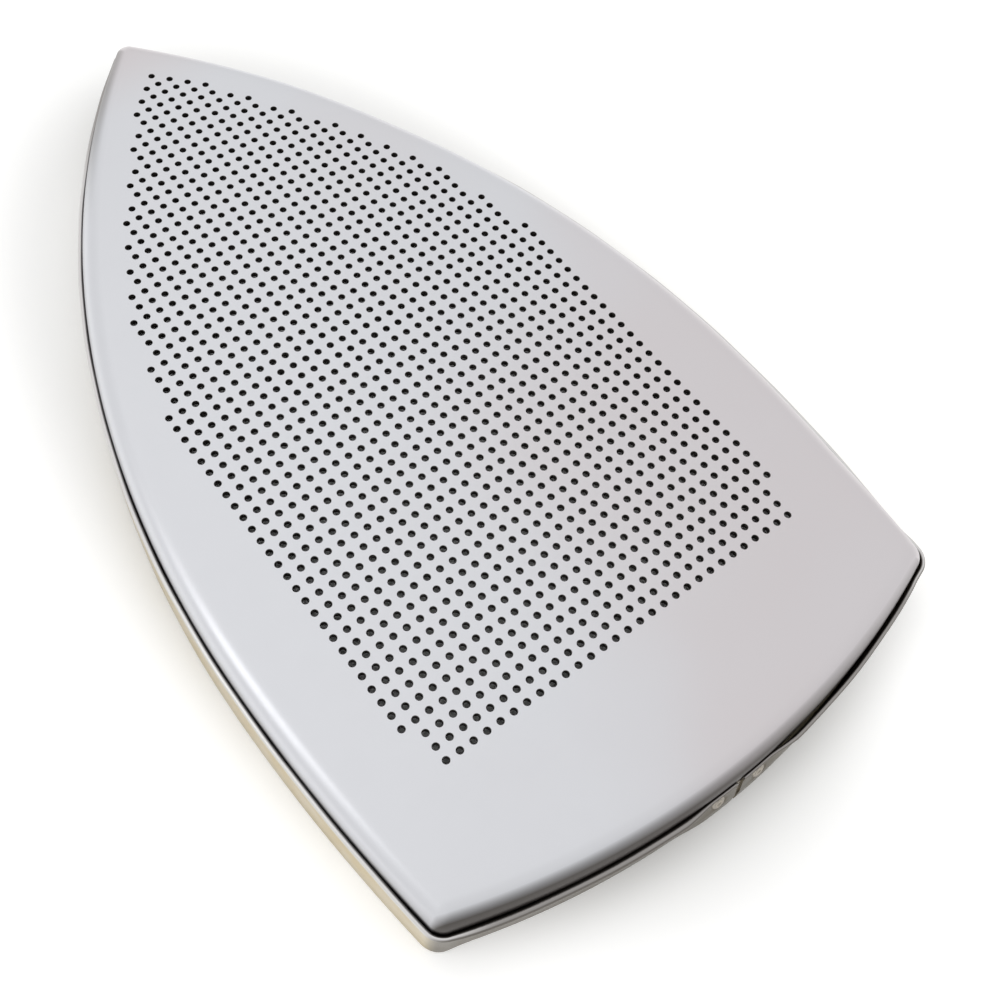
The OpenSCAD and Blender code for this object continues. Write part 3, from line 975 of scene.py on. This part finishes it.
class MESH_OT_shoe_joint_strap(bpy.types.Operator):
    """Build the strap behind the joint"""

    bl_idname = "mesh.shoe_joint_strap"
    bl_label = "Joint strap"

    def execute(self, context):
        pan, band, joint = context.scene.shoe_pan, context.scene.shoe_band, context.scene.shoe_joint
        heel = (0.0, pan.heel_radius - pan.heel)
        ends = arc_ends(outline(pan))
        half = math.asin(joint.strap_length / 2 / pan.heel_radius)
        steps = 48
        low, high, t, edge = joint.strap_bottom, joint.strap_top, joint.strap_thickness, 0.08 * MM
        levels = [z * MM for z in (5.0, 5.5, 6.0, 6.5, 7.0, 7.5, 8.0, 8.5)]
        depths = [(edge, low), (0.0, low + edge)]
        depths += [(0.0, z) for z in levels]
        depths += [(0.0, high - edge), (edge, high)]
        depths += [(t - d, z) for d, z in reversed(depths)]
        behind = band.thickness + 0.02 * MM
        rows = []
        for k in range(steps + 1):
            turn = half * (2 * k / steps - 1)
            along = abs(turn) * pan.heel_radius
            stand = strip_stand(along, ends, band)
            station = (heel, pan.heel_radius, turn - math.pi / 2)
            row = []
            for d, z in depths:
                front = wall_at(z, stand, band) - behind - dent_at(along, z, band, joint)
                row.append(place(station, front - d, z))
            rows.append(row)
        vertices, faces = loft(rows, False)
        piece = object_from("joint_strap_plate", vertices, faces)
        clean(piece, merge=0)
        smooth(piece, 35)
        dress(piece, pressed_steel(joint), "joint_strap")
        return {"FINISHED"}


class MESH_OT_shoe_joint_rivets(bpy.types.Operator):
    """Build the two rivets with their dished heads"""

    bl_idname = "mesh.shoe_joint_rivets"
    bl_label = "Joint rivets"

    def execute(self, context):
        pan, band, joint = context.scene.shoe_pan, context.scene.shoe_band, context.scene.shoe_joint
        r, shank, head = joint.rivet_diameter / 2, joint.shank / 2, joint.head
        along = rivet_place(band, joint)
        stand = strip_stand(along, arc_ends(outline(pan)), band)
        seat = wall_at(joint.rivet_height, stand, band) - joint.dent
        root = -band.thickness - joint.strap_thickness
        sunk = 0.1 * MM
        profile = [(r * out, head * rise) for out, rise in HEAD_PROFILE]
        profile += [(r, -sunk), (shank, -sunk), (shank, root), (0.0, root)]
        around = 32
        vertices, faces = [], []
        for side in (-1, 1):
            turn = -math.pi / 2 + side * along / pan.heel_radius
            out = Vector((math.cos(turn), math.sin(turn), 0))
            flat = Vector((-math.sin(turn), math.cos(turn), 0))
            up = Vector((0, 0, 1))
            axis = out * math.cos(joint.tilt) + up * math.sin(joint.tilt)
            rise = up * math.cos(joint.tilt) - out * math.sin(joint.tilt)
            middle = Vector((0, pan.heel_radius - pan.heel, joint.rivet_height))
            base = middle + out * (pan.heel_radius + seat)
            start = len(vertices)
            for radius, off in profile:
                for k in range(around):
                    a = 2 * math.pi * k / around
                    vertices.append(base + axis * off + (flat * math.cos(a) + rise * math.sin(a)) * radius)
            for i in range(len(profile) - 1):
                for k in range(around):
                    a, b = start + i * around, start + (i + 1) * around
                    faces.append((a + k, b + k, b + (k + 1) % around, a + (k + 1) % around))
        piece = object_from("joint_rivet_pair", vertices, faces)
        clean(piece, merge=0.0001 * MM)
        smooth(piece, 40)
        dress(piece, pressed_steel(joint), "joint_rivets")
        return {"FINISHED"}


# Retaining spring


def spring_tree():
    """Node tree that winds the coil and follows the two legs, which come in as edges, with round wire."""
    inputs = {
        "Turns": "Float",
        "Turn steps": "Int",
        "Coil radius": "Float",
        "Coil length": "Float",
        "Wire radius": "Float",
        "Bend radius": "Float",
        "Place": "Vector",
        "Material": "Material",
    }
    tree = new_tree("wound_spring", inputs)
    given = node(tree, "NodeGroupInput").outputs
    winding = {
        "Resolution": given["Turn steps"],
        "Rotations": given["Turns"],
        "Start Radius": given["Coil radius"],
        "End Radius": given["Coil radius"],
        "Height": given["Coil length"],
    }
    coil = node(tree, "GeometryNodeCurveSpiral", winding)
    back = node(tree, "ShaderNodeMath", {0: given["Coil length"], 1: -0.5}, operation="MULTIPLY")
    shift = node(tree, "ShaderNodeCombineXYZ", {"X": back})
    # the spiral climbs along Z from +X: turned so that it runs along X and starts at +Y
    turn = {"Geometry": coil, "Rotation": (math.pi / 2, 0.0, math.pi / 2), "Translation": shift}
    laid = node(tree, "GeometryNodeTransform", turn)
    legs = node(tree, "GeometryNodeMeshToCurve", {"Mesh": given["Geometry"]})
    bends = {"Curve": legs, "Radius": given["Bend radius"], "Count": 6}
    bent = node(tree, "GeometryNodeFilletCurve", bends, mode="POLY")
    both = node(tree, "GeometryNodeJoinGeometry")
    for curve in (laid, bent):
        tree.links.new(curve.outputs[0], both.inputs["Geometry"])
    ring = node(tree, "GeometryNodeCurvePrimitiveCircle", {"Resolution": 10, "Radius": given["Wire radius"]})
    wire = node(tree, "GeometryNodeCurveToMesh", {"Curve": both, "Profile Curve": ring, "Fill Caps": True})
    placed = node(tree, "GeometryNodeTransform", {"Geometry": wire, "Translation": given["Place"]})
    real = node(tree, "GeometryNodeRealizeInstances", {"Geometry": placed})
    done = node(tree, "GeometryNodeSetMaterial", {"Geometry": real, "Material": given["Material"]})
    node(tree, "NodeGroupOutput", {"Geometry": done})
    return tree


class MESH_OT_shoe_spring(bpy.types.Operator):
    """Build the retaining spring with its legs and hooks"""

    bl_idname = "mesh.shoe_spring"
    bl_label = "Retaining spring"

    def execute(self, context):
        scene = context.scene
        pan, spring = scene.shoe_pan, scene.shoe_spring
        front = outline(pan)[3]
        half = front[0][0] + math.sqrt(front[1] ** 2 - (spring.place - front[0][1]) ** 2)
        hook_x = half + spring.wire / 2 + 0.05 * MM
        coil_r = (spring.coil - spring.wire) / 2
        coil_half = spring.turns * spring.turn_pitch / 2
        lead = coil_r + spring.wire
        leg = [
            (coil_half, coil_r, 0.0),
            (coil_half + lead, 0.0, 0.0),
            (hook_x, 0.0, 0.0),
            (hook_x, 0.0, -spring.drop),
        ]
        vertices = leg + [(-x, y, z) for x, y, z in leg]
        edges = [(0, 1), (1, 2), (2, 3), (4, 5), (5, 6), (6, 7)]
        material = drawn_wire(spring)
        mesh = bpy.data.meshes.new("spring_legs")
        mesh.from_pydata(vertices, edges, [])
        base = bpy.data.objects.new("spring_legs", mesh)
        scene.collection.objects.link(base)
        grown_mesh = grown(
            base,
            spring_tree(),
            {
                "Turns": float(spring.turns),
                "Turn steps": 24,
                "Coil radius": coil_r,
                "Coil length": 2 * coil_half,
                "Wire radius": spring.wire / 2,
                "Bend radius": spring.wire * 0.75,
                "Place": (0.0, spring.place, spring.height),
                "Material": material,
            },
        )
        unlink_rest(base)
        piece = bpy.data.objects.new("retaining_spring_wire", grown_mesh)
        scene.collection.objects.link(piece)
        clean(piece, merge=0.0001 * MM)
        smooth(piece, 60)
        dress(piece, material, "retaining_spring")
        return {"FINISHED"}


# Stage

# the photograph's view, fitted to the grid of holes: place and axes of the camera, and its sideways shift
CAMERA_PLACE = (-0.08939, -0.11884, 0.22046)
CAMERA_RIGHT = (0.79263, -0.60472, 0.07779)
CAMERA_FORWARD = (0.34873, 0.34499, -0.87142)
CAMERA_SHIFT = 0.0309


class OBJECT_OT_shoe_stage(bpy.types.Operator):
    """Set up floor, lamps, world and camera"""

    bl_idname = "object.shoe_stage"
    bl_label = "Stage"

    def execute(self, context):
        scene, stage = context.scene, context.scene.shoe_stage
        half = stage.floor_size / 2
        corners = [(-half, -half, 0), (half, -half, 0), (half, half, 0), (-half, half, 0)]
        floor = object_from("floor_paper", corners, [(0, 1, 2, 3)])
        floor.data.materials.append(pale_paper(stage))

        world = bpy.data.worlds.new("soft_room")
        scene.world = world
        world.use_nodes = True
        world.node_tree.nodes.clear()
        tree = world.node_tree
        # the room is darker on the heel's side
        way = node(tree, "ShaderNodeTexCoord").outputs["Generated"]
        facing = node(tree, "ShaderNodeSeparateXYZ", {"Vector": way}).outputs
        fade = {"Value": facing["Y"], "From Min": -1.0, "From Max": -0.6}
        light = node(tree, "ShaderNodeMapRange", {**fade, "To Min": stage.dim, "To Max": stage.room})
        grey = node(tree, "ShaderNodeBackground", {"Color": (1, 1, 1, 1), "Strength": light})
        node(tree, "ShaderNodeOutputWorld", {"Surface": grey})

        def lamp(name, where, sides, power):
            """A white rectangle of light that faces the cover"""
            data = bpy.data.lights.new(name, "AREA")
            data.shape = "RECTANGLE"
            data.size, data.size_y = sides
            data.energy = power
            made = bpy.data.objects.new(name, data)
            scene.collection.objects.link(made)
            made.location = where
            made.rotation_euler = (-Vector(where)).to_track_quat("-Z", "Y").to_euler()

        lamp("top_lamp", (0.0, 0.45, 1.2), (1.0, 1.2), stage.top)
        # mirrored in the left rounding as a soft streak
        lamp("key_lamp", (-0.86, 0.38, 0.88), (0.4, 0.7), stage.key)

        data = bpy.data.cameras.new("photo_camera")
        data.sensor_width = 36
        data.lens = stage.lens
        data.shift_x = CAMERA_SHIFT
        data.clip_start = 0.01
        camera = bpy.data.objects.new("photo_camera", data)
        scene.collection.objects.link(camera)
        forward = Vector(CAMERA_FORWARD).normalized()
        right = Vector(CAMERA_RIGHT)
        right = (right - right.dot(forward) * forward).normalized()
        up = right.cross(forward)
        turn = Matrix((right, up, -forward)).transposed()
        camera.matrix_world = Matrix.Translation(CAMERA_PLACE) @ turn.to_4x4()
        scene.camera = camera

        scene.view_settings.view_transform = "Standard"
        return {"FINISHED"}


# Panel and registration

OPERATORS = (
    MESH_OT_shoe_sole_pan,
    MESH_OT_shoe_rim_band,
    MESH_OT_shoe_joint_strap,
    MESH_OT_shoe_joint_rivets,
    MESH_OT_shoe_spring,
    OBJECT_OT_shoe_stage,
)


class VIEW3D_PT_shoe(bpy.types.Panel):
    """Lists the pieces of the cover"""

    bl_label = "Iron shoe cover"
    bl_idname = "VIEW3D_PT_shoe"
    bl_space_type = "VIEW_3D"
    bl_region_type = "UI"
    bl_category = "Iron shoe"

    def draw(self, context):
        for operator in OPERATORS:
            self.layout.operator(operator.bl_idname)


SETTINGS = {
    "shoe_pan": ShoePanSettings,
    "shoe_holes": ShoeHoleSettings,
    "shoe_band": ShoeBandSettings,
    "shoe_joint": ShoeJointSettings,
    "shoe_spring": ShoeSpringSettings,
    "shoe_stage": ShoeStageSettings,
}


def register():
    for made in (*SETTINGS.values(), *OPERATORS, VIEW3D_PT_shoe):
        bpy.utils.register_class(made)
    for name, group in SETTINGS.items():
        setattr(bpy.types.Scene, name, PointerProperty(type=group))


def unregister():
    for name in SETTINGS:
        delattr(bpy.types.Scene, name)
    for made in reversed((*SETTINGS.values(), *OPERATORS, VIEW3D_PT_shoe)):
        bpy.utils.unregister_class(made)


def main():
    register()
    bpy.ops.mesh.shoe_sole_pan()
    bpy.ops.mesh.shoe_rim_band()
    bpy.ops.mesh.shoe_joint_strap()
    bpy.ops.mesh.shoe_joint_rivets()
    bpy.ops.mesh.shoe_spring()
    bpy.ops.object.shoe_stage()


if __name__ == "__main__":
    main()
